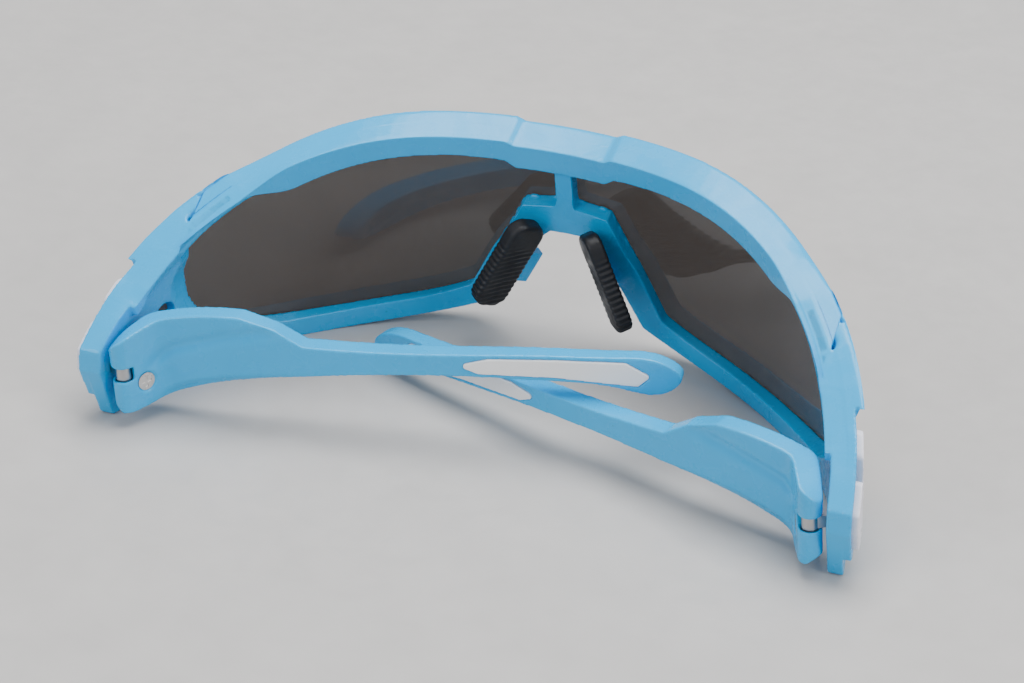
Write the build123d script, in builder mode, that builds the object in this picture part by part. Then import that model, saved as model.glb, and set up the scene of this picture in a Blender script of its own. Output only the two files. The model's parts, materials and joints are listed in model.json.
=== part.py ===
# Wraparound sport safety glasses, standing folded on their lower rims and end tips.
# Millimetres. +X is the wearer's right, +Y is forward, +Z is up, z = 0 is the surface.
import os
from math import cos, radians, sin, tan

from build123d import *

os.makedirs("parts", exist_ok=True)

# ---- driving dimensions: the curved front -------------------------------------------
wrap_radius = 73.0                       # back of the lens, seen from above
wrap_centre_y = -39.6                    # centre of that arc at z = 0
lean_angle = 9.6                         # the front leans back by this much
fit_gap = 0.1
lens_thickness = 1.8
lens_back = wrap_radius + fit_gap
lens_front = lens_back + lens_thickness
rim_depth = 3.0
brow_depth = 3.9                         # behind the lens
brow_lip = 1.2                           # in front of the lens
wall_depth = 2.8                         # end-piece wall
pad_thickness_out = 1.6                  # end-piece thickened outwards round the side trims
trim_thickness = 2.8

# ---- driving dimensions: heights ----------------------------------------------------
frame_height = 47.0
centre_step = 1.0                        # the middle of the brow is this much lower
centre_half_width = 9.0
strut_width = 3.4
groove_y = -24.0
groove_width = 1.2

# ---- driving dimensions: hinges and temples -----------------------------------------
hinge_x = 66.0
hinge_y = -29.6
hinge_z = 11.0
lean_left = 4.2                          # leaning hinge axes let one temple cross over the other
lean_right = 2.8
fold_left = 10.5                         # folded arm, degrees forward of sideways
fold_right = 16.0
plate_turn = 50.0                        # front plate against arm, seen from above
plate_half = 2.2
barrel_radius = 1.5
pin_radius = 0.6
pin_clearance = 0.05
barrel_height = 2.4
knuckle_gap = 0.15
temple_length = 103.0
pocket_height = 3 * barrel_height + 4 * knuckle_gap + 0.6

lean = tan(radians(lean_angle))


def curved_wall(inner, outer):
    """Leaning curved wall between two radii about the wrap centre, front half only."""
    with BuildPart(mode=Mode.PRIVATE) as wall:
        with BuildSketch(Plane.XY.offset(-1)):
            with Locations((0, wrap_centre_y + lean)):
                Circle(outer)
                Circle(inner, mode=Mode.SUBTRACT)
        extrude(amount=frame_height + 6, dir=(0, -lean, 1))
        split(bisect_by=Plane.XZ.offset(-wrap_centre_y), keep=Keep.BOTTOM)
    return wall.part


def draw(stretches):
    """Lines for stretches of two points, smooth curves for longer ones."""
    for stretch in stretches:
        if len(stretch) == 2:
            Line(*stretch)
        else:
            Spline(*stretch)


# ---- outlines seen from the front, (x, z), right-hand half, from the top round -------
step_top = (centre_half_width, frame_height - centre_step)
step_end = (centre_half_width + 1.4, frame_height - 0.2)
lobe_end = (70.5, 23.0)
heel_end = (70.5, 3.5)
nose_corner = (15.2, 6.2)
arch_shoulder = (5.0, 24.5)
arch_top = (3.2, 26.4)
rim_bottom = [
    [heel_end, (64, 1.6), (57, 0.4), (50, 0)],
    [(50, 0), (44, 0)],
    [(44, 0), (35, 0.8), (24.5, 2.9), nose_corner],
]
front_outline = [
    [(0, step_top[1]), step_top],
    [step_top, step_end],
    [step_end, (20, frame_height), (32, frame_height - 0.5), (45, 43.6), (56, 38.2), (62.5, 33.2), lobe_end],
    [lobe_end, heel_end],
    *rim_bottom,
    [nose_corner, arch_shoulder],
    [arch_shoulder, arch_top],
    [arch_top, (0, arch_top[1])],
]
brow_under = (centre_half_width, 41.0)
brow_outline = front_outline[:3] + [
    [lobe_end, (58.5, 29.0)],
    [(58.5, 29.0), (38, 39.0)],
    [(38, 39.0), brow_under],
    [brow_under, (0, brow_under[1])],
]
brow_end = 62.0
rim_end = 60.0                           # the end-pieces take over from here
strut_top = (strut_width / 2, brow_under[1])
strut_foot = (strut_width / 2, 32.4)
low_corner = (19.6, 9.4)
eye_shoulder = (8.6, 31.6)
brow_notch = (11.0, 42.4)
aperture = [
    [strut_top, brow_under],
    [brow_under, brow_notch],
    [
        brow_notch,
        (26, 42.6),
        (38, 40.8),
        (50, 36.0),
        (58.5, 30.2),
        (63.0, 23.5),
        (63.6, 15.0),
        (60.5, 7.6),
        (54, 4.8),
        (46, 4.1),
        (36, 4.9),
        (27, 6.6),
        low_corner,
    ],
    [low_corner, eye_shoulder],
    [eye_shoulder, strut_foot],
    [strut_foot, strut_top],
]
lens_top = frame_height - 2.4
lens_shoulder = (centre_half_width + 1.4, lens_top)
lens_tip = (67.4, 24.0)
lens_heel = (67.4, 8.0)
lens_outline = [
    [(0, lens_top), lens_shoulder],
    [
        lens_shoulder,
        (20, lens_top + 0.2),
        (32, lens_top - 0.3),
        (45, 41.4),
        (56, 36.1),
        (62.4, 30.8),
        lens_tip,
    ],
    [lens_tip, lens_heel],
    [lens_heel, (63.6, 3.2), (56, 1.2), (46, 1.0), (35, 1.8), (24.5, 4.2), (16.6, 7.4)],
    [(16.6, 7.4), (6.6, 27.0)],
    [(6.6, 27.0), (0, 27.0)],
]

# ---- outlines seen from the side, (y, z) --------------------------------------------
end_piece = [
    (4.0, 33.0),
    (-14.0, 29.5),
    (-23.6, 22.4),
    (-31.8, 15.2),
    (-32.2, 11.0),
    (-28.6, 0.0),
    (-26.0, 0.0),
    (-22.0, 3.0),
    (4.0, 0.6),
]
end_rail = [(4.0, 33.0), (-14.0, 29.5), (-23.6, 22.4), (-23.0, 18.8), (-13.4, 25.6), (4.0, 28.8)]
end_pad = [
    (-15.9, 28.2),
    (-23.6, 22.4),
    (-31.8, 15.2),
    (-32.2, 11.0),
    (-29.6, 4.0),
    (-23.0, 8.0),
    (-15.9, 11.4),
]
upper_trim = [(-17.3, 13.2), (-17.3, 25.4), (-22.9, 21.2), (-22.9, 11.0)]
rail_lip = [(4.0, 33.0), (-14.0, 29.5), (-16.2, 27.9), (-16.2, 25.0), (4.0, 28.8)]
lower_trim = [(-24.6, 19.5), (-30.6, 14.3), (-31.0, 10.9), (-29.3, 6.0), (-24.6, 9.0)]
wall_hole = (-14.5, 15.5)
wall_hole_radius = 2.1


def front_prism(half_outline):
    """Half an outline seen from the front, mirrored, and extended fore and aft."""
    with BuildPart(mode=Mode.PRIVATE) as prism:
        with BuildSketch(Plane.XZ):
            with BuildLine():
                draw(half_outline)
                mirror(about=Plane.YZ)
            make_face()
        extrude(amount=80, both=True)
    return prism.part


def side_prism(points, radius):
    """Outline seen from the right, extended sideways, with rounded corners."""
    with BuildPart(mode=Mode.PRIVATE) as prism:
        with BuildSketch(Plane.YZ) as outline:
            with BuildLine():
                Polyline(points, close=True)
            make_face()
            fillet(outline.vertices(), radius=radius)
        extrude(amount=90)
    return prism.part


# ---- lens ---------------------------------------------------------------------------
with BuildPart() as lens_shield:
    add(front_prism(lens_outline))
    add(curved_wall(lens_back, lens_front), mode=Mode.INTERSECT)
lens_shield.part.label = "lens_shield"
export_step(lens_shield.part, "parts/lens_shield.step")

# ---- temple outlines in the hinge frame: arm along X, outer face towards +Y ---------
plate_dir = (cos(radians(plate_turn)), -sin(radians(plate_turn)))
plate_normal = (sin(radians(plate_turn)), cos(radians(plate_turn)))
arm_outer = -3.9
arm_inner = -7.9
middle_outer = -4.5                      # the arm curves gently in towards its end
middle_inner = -8.2
tip_outer = -6.6
tip_inner = -9.6
arc_middle = 72.0
straight_end = 40.0
ramp_foot = (33.5, 4.2)
lobe_top = (22, 9.8)
rear_top = (-3.0, 3.4)
rear_low = (-3.0, -5.6)
heel = (-0.5, -7.9)
temple_side = [
    [
        heel,
        (5, -7.5),
        (12, -5.6),
        (23, -3.4),
        (37, -1.8),
        (67, -0.9),
        (80, -1.5),
        (92, -3.0),
        (100.5, -3.7),
        (temple_length, -1.0),
        (100, 2.2),
        (92, 3.5),
        (80, 3.8),
        (62, 3.7),
        (45, 3.7),
        ramp_foot,
    ],
    [ramp_foot, (28.5, 7.4)],
    [(28.5, 7.4), lobe_top],
    [lobe_top, (14, 9.9), (6, 8.8), (-0.5, 6.4), rear_top],
    [rear_top, rear_low],
    [rear_low, heel],
]
insert_side = [(62, 1.6), (66, -0.1), (80, -0.6), (95, -2.4), (97.5, -0.4), (93, 2.5), (80, 3.0), (68, 3.0)]


def hinge_frame(side, folded):
    """Location of a hinge axis; when folded is True, local X runs along the folded arm."""
    x, tilt, turn = (hinge_x, lean_right, 180 - fold_right)
    if side == "left":
        x, tilt, turn = (-hinge_x, lean_left, fold_left)
    return Pos(x, hinge_y, hinge_z) * Rot(0, -tilt, 0) * Rot(0, 0, turn if folded else 0)


def save(part, name):
    part.label = name
    export_step(part, f"parts/{name}.step")


def place_on_arm(part, side):
    """Pieces of the temple are drawn for the right; the left ones are mirror images."""
    drawn = part if side == "right" else part.mirror(Plane.XZ)
    return hinge_frame(side, True) * drawn


def place_on_axis(part, side):
    """Pieces of the hinge that stay with the front, drawn for the right."""
    drawn = part if side == "right" else part.mirror(Plane.YZ)
    return hinge_frame(side, False) * drawn


# ---- hinge lug: barrel round the pin, bar and foot let into the end-piece -----------
lug_direction = 34.0
lug_reach = 5.0
lug_bar_width = 2.2
with BuildPart() as hinge_lug:
    with BuildSketch(Plane.XY.offset(-barrel_height / 2)):
        Circle(barrel_radius)
        with Locations(Rot(0, 0, lug_direction) * Pos(lug_reach / 2, 0)):
            Rectangle(lug_reach, lug_bar_width)
        Circle(pin_radius + pin_clearance, mode=Mode.SUBTRACT)
    extrude(amount=barrel_height)
lugs = {side: place_on_axis(hinge_lug.part, side) for side in ("left", "right")}

# ---- hinge pin ----------------------------------------------------------------------
with BuildPart() as hinge_pin:
    Cylinder(pin_radius, 3 * barrel_height + 4 * knuckle_gap)

# ---- hinge leaf: two barrels and a plate inside the temple --------------------------
leaf_length = 6.8
leaf_start = 0.9
leaf_half = 0.6
screw_along = 3.4
screw_height = -2.7
leaf_plane = Plane(origin=(0, 0, 0), x_dir=(plate_dir[0], plate_dir[1], 0), z_dir=(0, 0, 1))
with BuildPart() as hinge_leaf:
    barrel_centre = barrel_height + knuckle_gap
    with Locations((0, 0, barrel_centre), (0, 0, -barrel_centre)):
        Cylinder(barrel_radius, barrel_height)
    with BuildSketch(leaf_plane.offset(-barrel_centre - barrel_height / 2)):
        with Locations(((leaf_length + leaf_start) / 2, 0)):
            Rectangle(leaf_length - leaf_start, 2 * leaf_half)
    extrude(amount=2 * barrel_centre + barrel_height)
    with BuildSketch(leaf_plane.offset(-barrel_height / 2 - knuckle_gap)):
        Circle(barrel_radius + 0.3)
    extrude(amount=barrel_height + 2 * knuckle_gap, mode=Mode.SUBTRACT)
    Cylinder(pin_radius + pin_clearance, 20, mode=Mode.SUBTRACT)

# ---- temple screw: countersunk cross-head, through the temple into the leaf ---------
screw_head_radius = 1.75
screw_shank_radius = 0.7
screw_plane = Plane(
    origin=(screw_along * plate_dir[0], screw_along * plate_dir[1], screw_height),
    x_dir=(0, 0, 1),
    z_dir=(plate_normal[0], plate_normal[1], 0),
)
with BuildPart() as temple_screw:
    with BuildSketch(screw_plane.offset(-1.2)):
        Circle(screw_shank_radius)
    extrude(amount=2.6)
    with BuildSketch(screw_plane.offset(1.3)):
        Circle(screw_shank_radius)
    with BuildSketch(screw_plane.offset(plate_half - 0.15)):
        Circle(screw_head_radius)
    loft()

with BuildPart() as drilled_leaf:
    add(hinge_leaf.part)
    add(temple_screw.part, mode=Mode.SUBTRACT)

with BuildPart() as screw_recess:
    with BuildSketch(screw_plane.offset(plate_half - 0.3)):
        Rectangle(2.2, 0.5)
        Rectangle(0.5, 2.2)
    extrude(amount=1)

with BuildPart() as cross_screw:
    add(temple_screw.part)
    add(screw_recess.part, mode=Mode.SUBTRACT)

# ---- temple: the leaf's pocket opens inwards, and a slot clears the lug ---------------
barrel_play = 0.1
pocket_open_depth = 3.0
slot_height = barrel_height + 2 * knuckle_gap
rear_visible = (plate_half * plate_normal[0], plate_half * plate_normal[1])
rear_hidden = (-rear_visible[0], -rear_visible[1])
with BuildPart() as temple:
    with BuildSketch(Plane.XY.offset(-20)) as plan:
        with BuildLine():
            Line(rear_visible, (6.4, arm_outer))
            Line((6.4, arm_outer), (straight_end, arm_outer))
            ThreePointArc((straight_end, arm_outer), (arc_middle, middle_outer), (temple_length, tip_outer))
            Line((temple_length, tip_outer), (temple_length, tip_inner))
            ThreePointArc((temple_length, tip_inner), (arc_middle, middle_inner), (straight_end, arm_inner))
            Line((straight_end, arm_inner), (3.5, arm_inner))
            Line((3.5, arm_inner), rear_hidden)
            Line(rear_hidden, rear_visible)
        make_face()
        fillet(plan.vertices().filter_by(lambda corner: 3 < corner.X < 10), radius=4)
        Circle(plate_half)
    extrude(amount=40)
    with BuildSketch(Plane.XZ) as outline:
        with BuildLine():
            draw(temple_side)
        make_face()
        fillet(outline.vertices().filter_by(lambda corner: corner.X < 30), radius=0.8)
    extrude(amount=30, both=True, mode=Mode.INTERSECT)
    with BuildSketch(leaf_plane.offset(-pocket_height / 2)):
        Circle(barrel_radius + barrel_play)
        with Locations((leaf_length / 2 + barrel_play, -pocket_open_depth / 2)):
            Rectangle(leaf_length, pocket_open_depth + 2 * (leaf_half + barrel_play))
    extrude(amount=pocket_height, mode=Mode.SUBTRACT)
    with BuildSketch(leaf_plane.offset(-slot_height / 2)):
        with Locations((-plate_half / 2, -pocket_open_depth / 2)):
            Rectangle(2 * plate_half, pocket_open_depth + 2 * lug_bar_width)
    extrude(amount=slot_height, mode=Mode.SUBTRACT)
    add(temple_screw.part, mode=Mode.SUBTRACT)

# ---- temple insert: raised strip let into the outer face of the ear end -------------
insert_depth = 0.9
insert_proud = 0.15
with BuildPart() as temple_insert:
    with BuildSketch(Plane.XY.offset(-20)):
        with BuildLine():
            face_start = (straight_end, arm_outer + insert_proud)
            face_end = (temple_length, tip_outer + insert_proud)
            back_start = (straight_end, arm_outer - insert_depth)
            back_end = (temple_length, tip_outer - insert_depth)
            ThreePointArc(face_start, (arc_middle, middle_outer + insert_proud), face_end)
            Line(face_end, back_end)
            ThreePointArc(back_end, (arc_middle, middle_outer - insert_depth), back_start)
            Line(back_start, face_start)
        make_face()
    extrude(amount=40)
    with BuildSketch(Plane.XZ) as outline:
        with BuildLine():
            Polyline(insert_side, close=True)
        make_face()
        fillet(outline.vertices(), radius=0.6)
    extrude(amount=30, both=True, mode=Mode.INTERSECT)

with BuildPart() as temple_shell:
    add(temple.part)
    add(temple_insert.part, mode=Mode.SUBTRACT)

for side in ("left", "right"):
    save(place_on_axis(hinge_pin.part, side), f"hinge_pin_{side}")
    save(lugs[side], f"hinge_lug_{side}")
    save(place_on_arm(drilled_leaf.part, side), f"hinge_leaf_{side}")
    save(place_on_arm(cross_screw.part, side), f"temple_screw_{side}")
    save(place_on_arm(temple_shell.part, side), f"temple_{side}")
    save(place_on_arm(temple_insert.part, side), f"temple_insert_{side}")

# ---- front frame: rims and strut, brow bar, end-pieces ------------------------------
with BuildPart() as brow_bar:
    add(front_prism(brow_outline))
    add(curved_wall(wrap_radius - brow_depth, lens_front + fit_gap + brow_lip), mode=Mode.INTERSECT)
    split(bisect_by=Plane.YZ.offset(brow_end), keep=Keep.BOTTOM)
    split(bisect_by=Plane.YZ.offset(-brow_end), keep=Keep.TOP)

with BuildPart() as lens_slot:
    add(front_prism(lens_outline))
    add(curved_wall(wrap_radius, lens_front + fit_gap), mode=Mode.INTERSECT)

with BuildPart() as end_rails:
    add(side_prism(end_rail, 0.6))
    add(curved_wall(wrap_radius - brow_depth, wrap_radius), mode=Mode.INTERSECT)

with BuildPart() as end_pads:
    add(side_prism(end_pad, 0.6))
    add(curved_wall(wrap_radius - fit_gap, wrap_radius + pad_thickness_out), mode=Mode.INTERSECT)
    for outline, radius in ((upper_trim, 1.6), (lower_trim, 1.2)):
        with BuildPart(mode=Mode.PRIVATE) as recess:
            add(side_prism(outline, radius))
            add(curved_wall(wrap_radius, wrap_radius + trim_thickness), mode=Mode.INTERSECT)
        add(recess.part, mode=Mode.SUBTRACT)

with BuildPart() as rail_lips:
    add(side_prism(rail_lip, 0.4))
    add(curved_wall(wrap_radius - fit_gap, lens_front + fit_gap + brow_lip), mode=Mode.INTERSECT)

with BuildPart() as end_pieces:
    add(side_prism(end_piece, 1.2))
    add(curved_wall(wrap_radius - wall_depth, wrap_radius), mode=Mode.INTERSECT)
    add(end_rails.part)
    add(rail_lips.part)
    add(end_pads.part)
    with BuildSketch(Plane.YZ):
        with Locations(wall_hole):
            Circle(wall_hole_radius)
        with Locations((groove_y, 23.4)):
            Rectangle(groove_width, 2.4)
    extrude(amount=90, mode=Mode.SUBTRACT)
    mirror(about=Plane.YZ)

with BuildPart() as front_frame:
    add(front_prism(front_outline))
    add(curved_wall(wrap_radius - rim_depth, wrap_radius), mode=Mode.INTERSECT)
    split(bisect_by=Plane.YZ.offset(rim_end), keep=Keep.BOTTOM)
    split(bisect_by=Plane.YZ.offset(-rim_end), keep=Keep.TOP)
    add(end_pieces.part)
    add(brow_bar.part)
    with BuildSketch(Plane.XZ) as openings:
        with BuildLine():
            draw(aperture)
        make_face()
        fillet(openings.vertices().filter_by(lambda corner: corner.X > 15), radius=2.0)
        mirror(about=Plane.YZ)
    extrude(amount=80, both=True, mode=Mode.SUBTRACT)
    add(lens_slot.part, mode=Mode.SUBTRACT)
    add(lugs["left"], mode=Mode.SUBTRACT)
    add(lugs["right"], mode=Mode.SUBTRACT)
save(front_frame.part, "front_frame")

# ---- side trims ---------------------------------------------------------------------
for name, outline, radius in (("upper", upper_trim, 1.6), ("lower", lower_trim, 1.2)):
    with BuildPart() as trim:
        add(side_prism(outline, radius))
        add(curved_wall(wrap_radius + fit_gap / 2, wrap_radius + trim_thickness), mode=Mode.INTERSECT)
    save(trim.part, f"side_trim_{name}_right")
    save(trim.part.mirror(Plane.YZ), f"side_trim_{name}_left")

# ---- lens studs: plugs that lock the lens ends in the end-piece holes ---------------
with BuildPart() as lens_stud:
    with BuildSketch(Plane.YZ):
        with Locations(wall_hole):
            Circle(wall_hole_radius - 0.3)
    extrude(amount=90)
    add(curved_wall(wrap_radius - 1.4, lens_back), mode=Mode.INTERSECT)
save(lens_stud.part, "lens_stud_right")
save(lens_stud.part.mirror(Plane.YZ), "lens_stud_left")

# ---- nose pads and the clips that hold them to the arch -----------------------------
pad_top = Vector(5.6, 22.2, 28.0)
pad_bottom = Vector(14.4, 19.6, 10.0)
pad_width = 7.6
pad_length = 20.0
pad_thickness = 3.2
pad_long = (pad_bottom - pad_top).normalized()
pad_wide = Vector(0.65, -0.76, 0.0)
pad_wide = (pad_wide - pad_long * pad_wide.dot(pad_long)).normalized()
pad_plane = Plane(origin=(pad_top + pad_bottom) * 0.5, x_dir=pad_wide, z_dir=pad_wide.cross(pad_long))
with BuildPart() as nose_pad:
    with BuildSketch(pad_plane):
        RectangleRounded(pad_width, pad_length, 3.0)
    extrude(amount=pad_thickness / 2, both=True)
    fillet(nose_pad.edges().filter_by(GeomType.LINE), radius=0.8)
save(nose_pad.part, "nose_pad_right")
save(nose_pad.part.mirror(Plane.YZ), "nose_pad_left")

with BuildPart() as pad_clip:
    with BuildSketch(pad_plane.offset(-0.9)):
        with Locations((-pad_width / 2, 0)):
            Rectangle(5.0, 7.0)
    extrude(amount=1.8)
    add(nose_pad.part, mode=Mode.SUBTRACT)
    add(front_frame.part, mode=Mode.SUBTRACT)
    add(curved_wall(wrap_radius - rim_depth / 2, lens_front + 20), mode=Mode.SUBTRACT)
save(pad_clip.part, "nose_pad_clip_right")
save(pad_clip.part.mirror(Plane.YZ), "nose_pad_clip_left")
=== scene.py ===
import json
from math import atan2, cos, radians, sin

import bmesh
import bpy
import numpy as np
from mathutils import Matrix, Vector
from mathutils.bvhtree import BVHTree


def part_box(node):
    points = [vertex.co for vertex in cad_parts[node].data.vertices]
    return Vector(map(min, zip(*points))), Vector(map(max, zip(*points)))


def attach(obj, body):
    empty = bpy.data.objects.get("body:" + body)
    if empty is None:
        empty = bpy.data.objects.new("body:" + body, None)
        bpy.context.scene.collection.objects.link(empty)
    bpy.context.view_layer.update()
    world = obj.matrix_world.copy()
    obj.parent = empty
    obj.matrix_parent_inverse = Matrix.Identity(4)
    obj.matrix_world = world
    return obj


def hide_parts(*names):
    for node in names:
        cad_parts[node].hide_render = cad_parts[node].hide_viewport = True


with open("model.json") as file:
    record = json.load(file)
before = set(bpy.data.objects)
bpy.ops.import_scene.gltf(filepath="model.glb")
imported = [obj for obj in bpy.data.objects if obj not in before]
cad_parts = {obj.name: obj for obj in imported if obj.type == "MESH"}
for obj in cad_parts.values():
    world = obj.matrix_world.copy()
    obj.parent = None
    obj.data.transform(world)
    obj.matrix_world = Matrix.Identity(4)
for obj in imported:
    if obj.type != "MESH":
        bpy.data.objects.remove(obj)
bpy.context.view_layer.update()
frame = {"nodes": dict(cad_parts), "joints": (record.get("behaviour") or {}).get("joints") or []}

# Wraparound sport safety glasses. Metres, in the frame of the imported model.
# +X is the wearer's right, +Y is forward, +Z is up.
MM = 0.001
SIDES = ("left", "right")

# ---- the leaning cylinder that the front is wrapped on ------------------------------
WRAP_CENTRE_Y = -39.6 * MM               # at z = 0
LEAN = 0.1691                            # backward shift of that centre per unit height
BROW_REAR = 69.1 * MM                    # radii of the front's main faces
RIM_REAR = 70.0 * MM
RIM_FRONT = 73.0 * MM
LENS_REAR = 73.1 * MM
LENS_FRONT = 74.9 * MM
BROW_FRONT = 76.2 * MM

# ---- mesh density -------------------------------------------------------------------
FINE_VOXEL = 0.16 * MM
BODY_VOXEL = 0.24 * MM
WELD_DISTANCE = 0.002 * MM


# ---- mesh helpers -------------------------------------------------------------------
def points_of(obj):
    flat = np.empty(len(obj.data.vertices) * 3)
    obj.data.vertices.foreach_get("co", flat)
    return flat.reshape(-1, 3)


def set_points(obj, points):
    obj.data.vertices.foreach_set("co", np.ascontiguousarray(points, dtype=np.float32).ravel())
    obj.data.update()


def smoothstep(low, high, values):
    t = np.clip((values - low) / (high - low), 0, 1)
    return t * t * (3 - 2 * t)


def apply_modifiers(obj):
    """The evaluated mesh replaces the object's own, and the modifiers go."""
    graph = bpy.context.evaluated_depsgraph_get()
    mesh = bpy.data.meshes.new_from_object(obj.evaluated_get(graph))
    obj.modifiers.clear()
    obj.data = mesh


def copy_of(node, name):
    """A new welded mesh object with the shape of a CAD node."""
    obj = bpy.data.objects.new(name, frame["nodes"][node].data.copy())
    bpy.context.scene.collection.objects.link(obj)
    mesh = bmesh.new()
    mesh.from_mesh(obj.data)
    bmesh.ops.remove_doubles(mesh, verts=mesh.verts, dist=WELD_DISTANCE)
    mesh.to_mesh(obj.data)
    mesh.free()
    return obj


def remesh(obj, voxel):
    modifier = obj.modifiers.new("voxels", "REMESH")
    modifier.mode = "VOXEL"
    modifier.voxel_size = voxel
    apply_modifiers(obj)


def relax(obj, passes, factor=0.5):
    modifier = obj.modifiers.new("relax", "SMOOTH")
    modifier.factor = factor
    modifier.iterations = passes
    apply_modifiers(obj)


def finish_mesh(obj, material):
    obj.data.polygons.foreach_set("use_smooth", [True] * len(obj.data.polygons))
    obj.data.materials.clear()
    obj.data.materials.append(material)


def wrap_radius_of(points):
    """Distance of each point from the leaning centre line, in its own horizontal plane."""
    behind = points[:, 1] - (WRAP_CENTRE_Y - LEAN * points[:, 2])
    return np.hypot(points[:, 0], behind), behind


def true_up(obj, radii, reach=0.22 * MM):
    """Points near one of the wall's radii are drawn onto it, so that the walls are fair."""
    points = points_of(obj)
    radius, behind = wrap_radius_of(points)
    wanted = radius.copy()
    for target in radii:
        near = 1 - smoothstep(0.5 * reach, reach, np.abs(radius - target))
        wanted += (target - radius) * near
    scale = wanted / radius
    points[:, 0] *= scale
    points[:, 1] += behind * (scale - 1)
    set_points(obj, points)


# ---- materials ----------------------------------------------------------------------
# Scales are pattern cells per metre, and stops are places along a pattern's range of 0 to 1.
CLOUD_SCALE = 70.0
CLOUD_DETAIL = 6.0
CLOUD_STOPS = (0.3, 0.7)
SPECK_SCALE = 130.0
SPECK_EDGE = 0.035
WEAR_SCALE = 240.0
WEAR_DETAIL = 8.0
WEAR_STOPS = (0.35, 0.7)
WEAR_SHARES = (0.75, 1.5)                # shares of the given roughness at those stops
GRAIN_DETAIL = 3.0
SPECULAR_LEVEL = 0.35
CYAN = (0.0, 0.40, 0.80)


def surface(name, colour, roughness, variation=0.06, grain=0.02, grain_scale=900.0, specks=0.0,
            speck_colour=(0.05, 0.05, 0.05), **sockets):
    """Moulded or metal surface: cloudy colour, uneven roughness, fine bump and optional dust specks."""
    material = bpy.data.materials.new(name)
    material.use_nodes = True
    nodes = material.node_tree.nodes
    links = material.node_tree.links
    shader = nodes["Principled BSDF"]
    sockets.setdefault("Specular_IOR_Level", SPECULAR_LEVEL)
    for socket, value in sockets.items():
        shader.inputs[socket.replace("_", " ")].default_value = value
    place = nodes.new("ShaderNodeTexCoord").outputs["Object"]

    def noise(scale, detail=4.0):
        node = nodes.new("ShaderNodeTexNoise")
        node.inputs["Scale"].default_value = scale
        node.inputs["Detail"].default_value = detail
        links.new(place, node.inputs["Vector"])
        return node.outputs["Fac"]

    def ramp(source, *stops):
        node = nodes.new("ShaderNodeValToRGB")
        links.new(source, node.inputs["Fac"])
        elements = node.color_ramp.elements
        while len(elements) < len(stops):
            elements.new(0.5)
        for element, (position, value) in zip(elements, stops):
            element.position = position
            element.color = (*value, 1) if isinstance(value, tuple) else (value, value, value, 1)
        return node.outputs["Color"]

    dark = tuple(c * (1 - variation) for c in colour)
    light = tuple(min(1, c * (1 + variation)) for c in colour)
    tint = ramp(noise(CLOUD_SCALE, CLOUD_DETAIL), (CLOUD_STOPS[0], dark), (CLOUD_STOPS[1], light))
    if specks:
        dots = nodes.new("ShaderNodeTexVoronoi")
        dots.inputs["Scale"].default_value = SPECK_SCALE
        links.new(place, dots.inputs["Vector"])
        mask = ramp(dots.outputs["Distance"], (0.0, specks), (SPECK_EDGE, 0.0))
        mix = nodes.new("ShaderNodeMix")
        mix.data_type = "RGBA"
        links.new(mask, mix.inputs[0])
        links.new(tint, mix.inputs[6])
        mix.inputs[7].default_value = (*speck_colour, 1)
        tint = mix.outputs[2]
    links.new(tint, shader.inputs["Base Color"])
    smoothest, roughest = (min(1, roughness * share) for share in WEAR_SHARES)
    wear = ramp(noise(WEAR_SCALE, WEAR_DETAIL), (WEAR_STOPS[0], smoothest), (WEAR_STOPS[1], roughest))
    links.new(wear, shader.inputs["Roughness"])
    bump = nodes.new("ShaderNodeBump")
    bump.inputs["Strength"].default_value = 1.0
    bump.inputs["Distance"].default_value = grain * MM
    links.new(noise(grain_scale, GRAIN_DETAIL), bump.inputs["Height"])
    links.new(bump.outputs["Normal"], shader.inputs["Normal"])
    return material


cyan = surface("cyan_plastic", CYAN, 0.24, variation=0.03, grain=0.012, grain_scale=420.0,
               specks=0.8, speck_colour=(0.02, 0.12, 0.2), Coat_Weight=0.2, Coat_Roughness=0.08)
cyan_temple = surface("cyan_temple_plastic", CYAN, 0.26, variation=0.03, grain=0.012,
                      grain_scale=420.0, specks=0.8, speck_colour=(0.02, 0.12, 0.2), Coat_Weight=0.2,
                      Coat_Roughness=0.1)
white_insert = surface("white_insert_rubber", (0.86, 0.87, 0.88), 0.42, variation=0.02, grain=0.015)
white_trim = surface("white_trim_plastic", (0.80, 0.79, 0.86), 0.34, variation=0.03, grain=0.012,
                     specks=0.7, speck_colour=(0.25, 0.24, 0.26))
black_rubber = surface("black_pad_rubber", (0.012, 0.012, 0.014), 0.46, variation=0.3, grain=0.03,
                       grain_scale=1600.0, specks=0.35, speck_colour=(0.3, 0.3, 0.3))
lens_tint = surface("tinted_polycarbonate", (0.036, 0.021, 0.015), 0.05, variation=0.12, grain=0.002,
                    grain_scale=120.0, specks=0.15, speck_colour=(0.5, 0.5, 0.5), Alpha=0.80,
                    Coat_Weight=0.6, Coat_Roughness=0.03)
stud_plastic = surface("stud_plastic", (0.05, 0.045, 0.045), 0.25, variation=0.2, grain=0.01)
steel = surface("turned_steel", (0.62, 0.61, 0.60), 0.28, variation=0.12, grain=0.02, grain_scale=2600.0,
                Metallic=1.0)
hinge_steel = surface("hinge_steel", (0.42, 0.42, 0.43), 0.36, variation=0.15, grain=0.02,
                      grain_scale=2000.0, Metallic=1.0)


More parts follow.
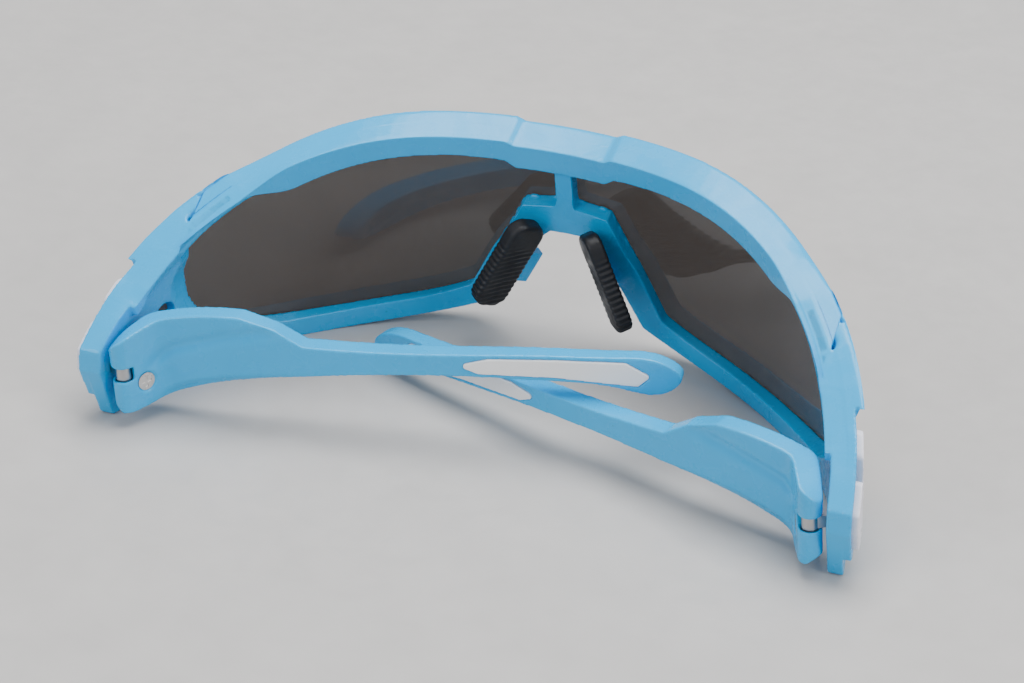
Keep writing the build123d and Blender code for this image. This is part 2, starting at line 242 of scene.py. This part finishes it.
# ---- front frame --------------------------------------------------------------------
BROW_SLOPE = 0.34                        # fall of the brow's top face towards the rear
BROW_FACE = 3.8 * MM                     # height of the brow bar's rear face
PROBE_INSET = 0.5 * MM
PROBE_DROP = 1.0 * MM
WALL_MIDDLE = 72.6 * MM
SLOPE_EDGE = BROW_FRONT - 0.6 * MM       # radius behind which the top face falls
SLOPE_START = 18 * MM                    # heights between which the shaping comes in
SLOPE_FULL = 26 * MM
SIDE_START = (42, 52)                    # angles between which SIDE_CREST comes in
SIDE_END = (70, 73)                      # angles between which it goes again
# Height of the top edge round the side, by angle from straight ahead, in degrees and mm.
SIDE_CREST = ((38.3, 43.6), (50.5, 38.2), (59.4, 33.2), (65.1, 29.4), (74.2, 22.5), (81.8, 15.3), (90, 9.0))


def slope_brow_top(obj):
    """The top face falls towards the rear, and runs fair from the brow down the end-pieces."""
    points = points_of(obj)
    radius, behind = wrap_radius_of(points)
    angle = np.degrees(np.arctan2(np.abs(points[:, 0]), behind))
    crest_angles, crest_heights = np.array(SIDE_CREST).T
    crest = np.interp(angle, crest_angles, crest_heights) * MM
    on_side = smoothstep(*SIDE_START, angle) * (1 - smoothstep(*SIDE_END, angle))
    tree = BVHTree.FromPolygons(
        [tuple(p) for p in points], [tuple(f.vertices) for f in obj.data.polygons]
    )
    up = Vector((0, -LEAN, 1)).normalized()
    for i in np.flatnonzero(points[:, 2] > SLOPE_START):
        probe = radius[i] + PROBE_INSET * (1 if radius[i] < WALL_MIDDLE else -1)
        scale = probe / radius[i]
        start = Vector((
            points[i, 0] * scale,
            points[i, 1] + behind[i] * (scale - 1),
            points[i, 2],
        )) - up * PROBE_DROP
        hit = tree.ray_cast(start, up)
        below_top = max(hit[3] - PROBE_DROP, 0.0) if hit[0] is not None else 0.0
        share = min(max(1 - below_top / BROW_FACE, 0.0), 1.0)
        top = points[i, 2] + below_top
        wanted = top + (crest[i] - top) * on_side[i]
        wanted -= BROW_SLOPE * max(SLOPE_EDGE - radius[i], 0.0)
        rise = (wanted - top) * share * smoothstep(SLOPE_START, SLOPE_FULL, points[i, 2])
        points[i, 1] -= LEAN * rise
        points[i, 2] += rise
    set_points(obj, points)


front = copy_of("front_frame", "front_moulding")
remesh(front, BODY_VOXEL)
slope_brow_top(front)
relax(front, 6)
true_up(front, (BROW_REAR, RIM_REAR, RIM_FRONT, BROW_FRONT))
relax(front, 2)
finish_mesh(front, cyan)
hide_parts("front_frame")
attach(front, "front")

# ---- lens ---------------------------------------------------------------------------
lens = copy_of("lens_shield", "lens_moulding")
remesh(lens, BODY_VOXEL)
relax(lens, 5)
true_up(lens, (LENS_REAR, LENS_FRONT), reach=0.5 * MM)
finish_mesh(lens, lens_tint)
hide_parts("lens_shield")
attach(lens, "front")


# ---- temples, shaped in the hinge frame: arm along X, outer face towards +Y ---------
FOLD_TURN = {"left": 10.5, "right": 164.0}
SCREW_ALONG = 3.4 * MM
SCREW_HEIGHT = -2.7 * MM
SCREW_DIMPLE = 1.9 * MM
PLATE_TURN = radians(50)
PLATE_DIRECTION = (cos(PLATE_TURN), -sin(PLATE_TURN))
PLATE_NORMAL = (sin(PLATE_TURN), cos(PLATE_TURN))
PLATE_END = 6.4 * MM                     # where the slanting plate meets the arm
PLATE_POINT = (1.84 * MM, 1.54 * MM)     # a point of the plate's outer face, along and out
PLATE_GRADIENT = 1.19
ARM_FACE = -3.9 * MM
VALLEY_WIDTH = 1.3 * MM
VALLEY_DEPTH = 0.6 * MM
FACET_HEIGHT = 2.2 * MM
FACET_DEPTH = 0.9 * MM
DIMPLE_DEPTH = 0.55 * MM
HINGE_AXES = {joint["name"].split("_")[0]: Vector(joint["axis"]) for joint in frame["joints"]}
VALLEY = ((3.5, -0.4), (8.5, 3.0), (17.5, 5.2), (25.0, 6.6))      # dished line of the wide end
LEDGE = ((3.0, -6.4), (11.0, -3.4), (18.0, -2.2), (32.0, -1.3))   # crease above the lower facet


def hinge_matrix(side):
    low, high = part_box(f"hinge_pin_{side}")
    axis = HINGE_AXES[side]
    up = axis if axis.z > 0 else -axis
    matrix = Matrix.Translation((low + high) / 2)
    matrix = matrix @ Matrix.Rotation(atan2(up.x, up.z), 4, "Y")
    matrix = matrix @ Matrix.Rotation(radians(FOLD_TURN[side]), 4, "Z")
    if side == "left":
        matrix = matrix @ Matrix.Diagonal((1, -1, 1, 1))
    return matrix


def transformed(points, matrix):
    m = np.array(matrix)
    return points @ m[:3, :3].T + m[:3, 3]


def height_of(line, along):
    spots = np.array(line)
    return np.interp(along / MM, spots[:, 0], spots[:, 1]) * MM


def sculpt_temple(obj, side):
    """The dished wide end and the turned-in lower facet of the outer face."""
    matrix = hinge_matrix(side)
    local = transformed(points_of(obj), matrix.inverted())
    along, out, height = local[:, 0], local[:, 1], local[:, 2]
    plate_face = PLATE_POINT[1] - PLATE_GRADIENT * (along - PLATE_POINT[0])
    outer_face = np.where(along < PLATE_END, plate_face, ARM_FACE)
    on_face = 1 - smoothstep(0.5 * MM, 1.6 * MM, outer_face - out)
    ends = smoothstep(2.5 * MM, 7 * MM, along) * (1 - smoothstep(24 * MM, 31 * MM, along))
    valley = np.exp(-(((height - height_of(VALLEY, along)) / VALLEY_WIDTH) ** 2)) * ends
    below = smoothstep(0.0, FACET_HEIGHT, height_of(LEDGE, along) - height)
    facet = below * smoothstep(4 * MM, 10 * MM, along) * (1 - smoothstep(26 * MM, 36 * MM, along))
    local[:, 1] = out - on_face * (VALLEY_DEPTH * valley + FACET_DEPTH * facet)
    plate_along = along * PLATE_DIRECTION[0] + out * PLATE_DIRECTION[1]
    plate_out = along * PLATE_NORMAL[0] + out * PLATE_NORMAL[1]
    from_screw = np.hypot(plate_along - SCREW_ALONG, height - SCREW_HEIGHT)
    dimple = DIMPLE_DEPTH * (1 - smoothstep(0.8 * SCREW_DIMPLE, 1.15 * SCREW_DIMPLE, from_screw))
    dimple *= smoothstep(1.0 * MM, 1.6 * MM, plate_out)
    local[:, 0] -= dimple * PLATE_NORMAL[0]
    local[:, 1] -= dimple * PLATE_NORMAL[1]
    set_points(obj, transformed(local, matrix))


for side in SIDES:
    temple = copy_of(f"temple_{side}", f"temple_moulding_{side}")
    remesh(temple, BODY_VOXEL)
    relax(temple, 7)
    sculpt_temple(temple, side)
    relax(temple, 3)
    finish_mesh(temple, cyan_temple)
    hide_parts(f"temple_{side}")
    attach(temple, f"temple_{side}")

    insert = copy_of(f"temple_insert_{side}", f"temple_insert_moulding_{side}")
    remesh(insert, FINE_VOXEL)
    relax(insert, 4)
    finish_mesh(insert, white_insert)
    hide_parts(f"temple_insert_{side}")
    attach(insert, f"temple_{side}")

# ---- side trims ---------------------------------------------------------------------
for side in SIDES:
    for level in ("upper", "lower"):
        trim = copy_of(f"side_trim_{level}_{side}", f"side_trim_moulding_{level}_{side}")
        remesh(trim, FINE_VOXEL)
        relax(trim, 8)
        finish_mesh(trim, white_trim)
        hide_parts(f"side_trim_{level}_{side}")
        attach(trim, "front")

# ---- nose pads: soft, ribbed on the face that touches the nose ----------------------
PAD_TOP = Vector((5.6, 22.2, 28.0)) * MM
PAD_BOTTOM = Vector((14.4, 19.6, 10.0)) * MM
RIB_PITCH = 1.15 * MM
RIB_DEPTH = 0.2 * MM
RIB_FADE = (3.0 * MM, 5.5 * MM)          # heights up the pad between which the ribs end
RIB_SLANT = 0.35
PAD_WIDE = Vector((0.65, -0.76, 0.0))


def pad_matrix(side):
    """Pad frame: X across, Y up the pad, Z out of its face."""
    long = (PAD_TOP - PAD_BOTTOM).normalized()
    wide = (PAD_WIDE - long * PAD_WIDE.dot(long)).normalized()
    matrix = Matrix((wide, long, wide.cross(long))).transposed().to_4x4()
    matrix.translation = (PAD_TOP + PAD_BOTTOM) / 2
    return matrix if side == "right" else Matrix.Diagonal((-1, 1, 1, 1)) @ matrix


for side in SIDES:
    pad = copy_of(f"nose_pad_{side}", f"nose_pad_moulding_{side}")
    remesh(pad, FINE_VOXEL)
    relax(pad, 10)
    matrix = pad_matrix(side)
    local = transformed(points_of(pad), matrix.inverted())
    ribbed = 1 - smoothstep(*RIB_FADE, local[:, 1])
    wave = 0.5 - 0.5 * np.cos(2 * np.pi * (local[:, 1] + RIB_SLANT * local[:, 0]) / RIB_PITCH)
    shrink = RIB_DEPTH * ribbed * wave
    across = np.hypot(local[:, 0], local[:, 2])
    local[:, 0] -= shrink * local[:, 0] / across
    local[:, 2] -= shrink * local[:, 2] / across
    set_points(pad, transformed(local, matrix))
    finish_mesh(pad, black_rubber)
    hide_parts(f"nose_pad_{side}")
    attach(pad, "front")

# ---- small CAD pieces that keep their shape -----------------------------------------
KEPT = {
    "nose_pad_clip": cyan,
    "lens_stud": stud_plastic,
    "hinge_lug": hinge_steel,
    "hinge_pin": steel,
    "hinge_leaf": hinge_steel,
    "temple_screw": steel,
}
for piece, material in KEPT.items():
    for side in SIDES:
        node = frame["nodes"][f"{piece}_{side}"]
        node.data.materials.clear()
        node.data.materials.append(material)

# ---- floor, light and camera --------------------------------------------------------
FLOOR_HALF = 3.0
SKY_COLOUR = (0.92, 0.95, 1.0, 1)
SKY_STRENGTH = 0.55
floor_mesh = bmesh.new()
bmesh.ops.create_grid(floor_mesh, x_segments=8, y_segments=8, size=FLOOR_HALF)
floor_data = bpy.data.meshes.new("floor")
floor_mesh.to_mesh(floor_data)
floor_mesh.free()
floor = bpy.data.objects.new("floor", floor_data)
bpy.context.scene.collection.objects.link(floor)
floor_data.materials.append(
    surface("pale_floor", (0.50, 0.485, 0.47), 0.45, variation=0.03, grain=0.05, grain_scale=300.0)
)


def area_light(name, place, aim, size, energy):
    light = bpy.data.lights.new(name, "AREA")
    light.shape = "RECTANGLE"
    light.size, light.size_y = size
    light.energy = energy
    obj = bpy.data.objects.new(name, light)
    obj.location = place
    obj.rotation_euler = (Vector(aim) - Vector(place)).to_track_quat("-Z", "Y").to_euler()
    bpy.context.scene.collection.objects.link(obj)


area_light("overhead_softbox", (0.05, 0.15, 0.75), (0, 0, 0), (0.7, 0.5), 9.0)
area_light("rear_fill", (-0.5, -0.7, 0.5), (0, 0, 0.02), (0.6, 0.6), 3.5)
area_light("side_fill", (0.8, -0.2, 0.45), (0, 0, 0.02), (0.4, 0.4), 3.0)
world = bpy.data.worlds.new("studio")
world.use_nodes = True
world.node_tree.nodes["Background"].inputs["Color"].default_value = SKY_COLOUR
world.node_tree.nodes["Background"].inputs["Strength"].default_value = SKY_STRENGTH
bpy.context.scene.world = world

CAMERA_TARGET = Vector((-0.7, 0.0, 15.3)) * MM
CAMERA_AZIMUTH = radians(21.6)
CAMERA_ELEVATION = radians(31.2)
CAMERA_DISTANCE = 0.6
CAMERA_LENS = 114.3
CAMERA_SENSOR = 36.0
camera_data = bpy.data.cameras.new("camera")
camera_data.lens = CAMERA_LENS
camera_data.sensor_width = CAMERA_SENSOR
camera = bpy.data.objects.new("camera", camera_data)
level = cos(CAMERA_ELEVATION)
away = Vector((sin(CAMERA_AZIMUTH) * level, -cos(CAMERA_AZIMUTH) * level, sin(CAMERA_ELEVATION)))
camera.location = CAMERA_TARGET + CAMERA_DISTANCE * away
camera.rotation_euler = (-away).to_track_quat("-Z", "Y").to_euler()
bpy.context.scene.collection.objects.link(camera)
bpy.context.scene.camera = camera
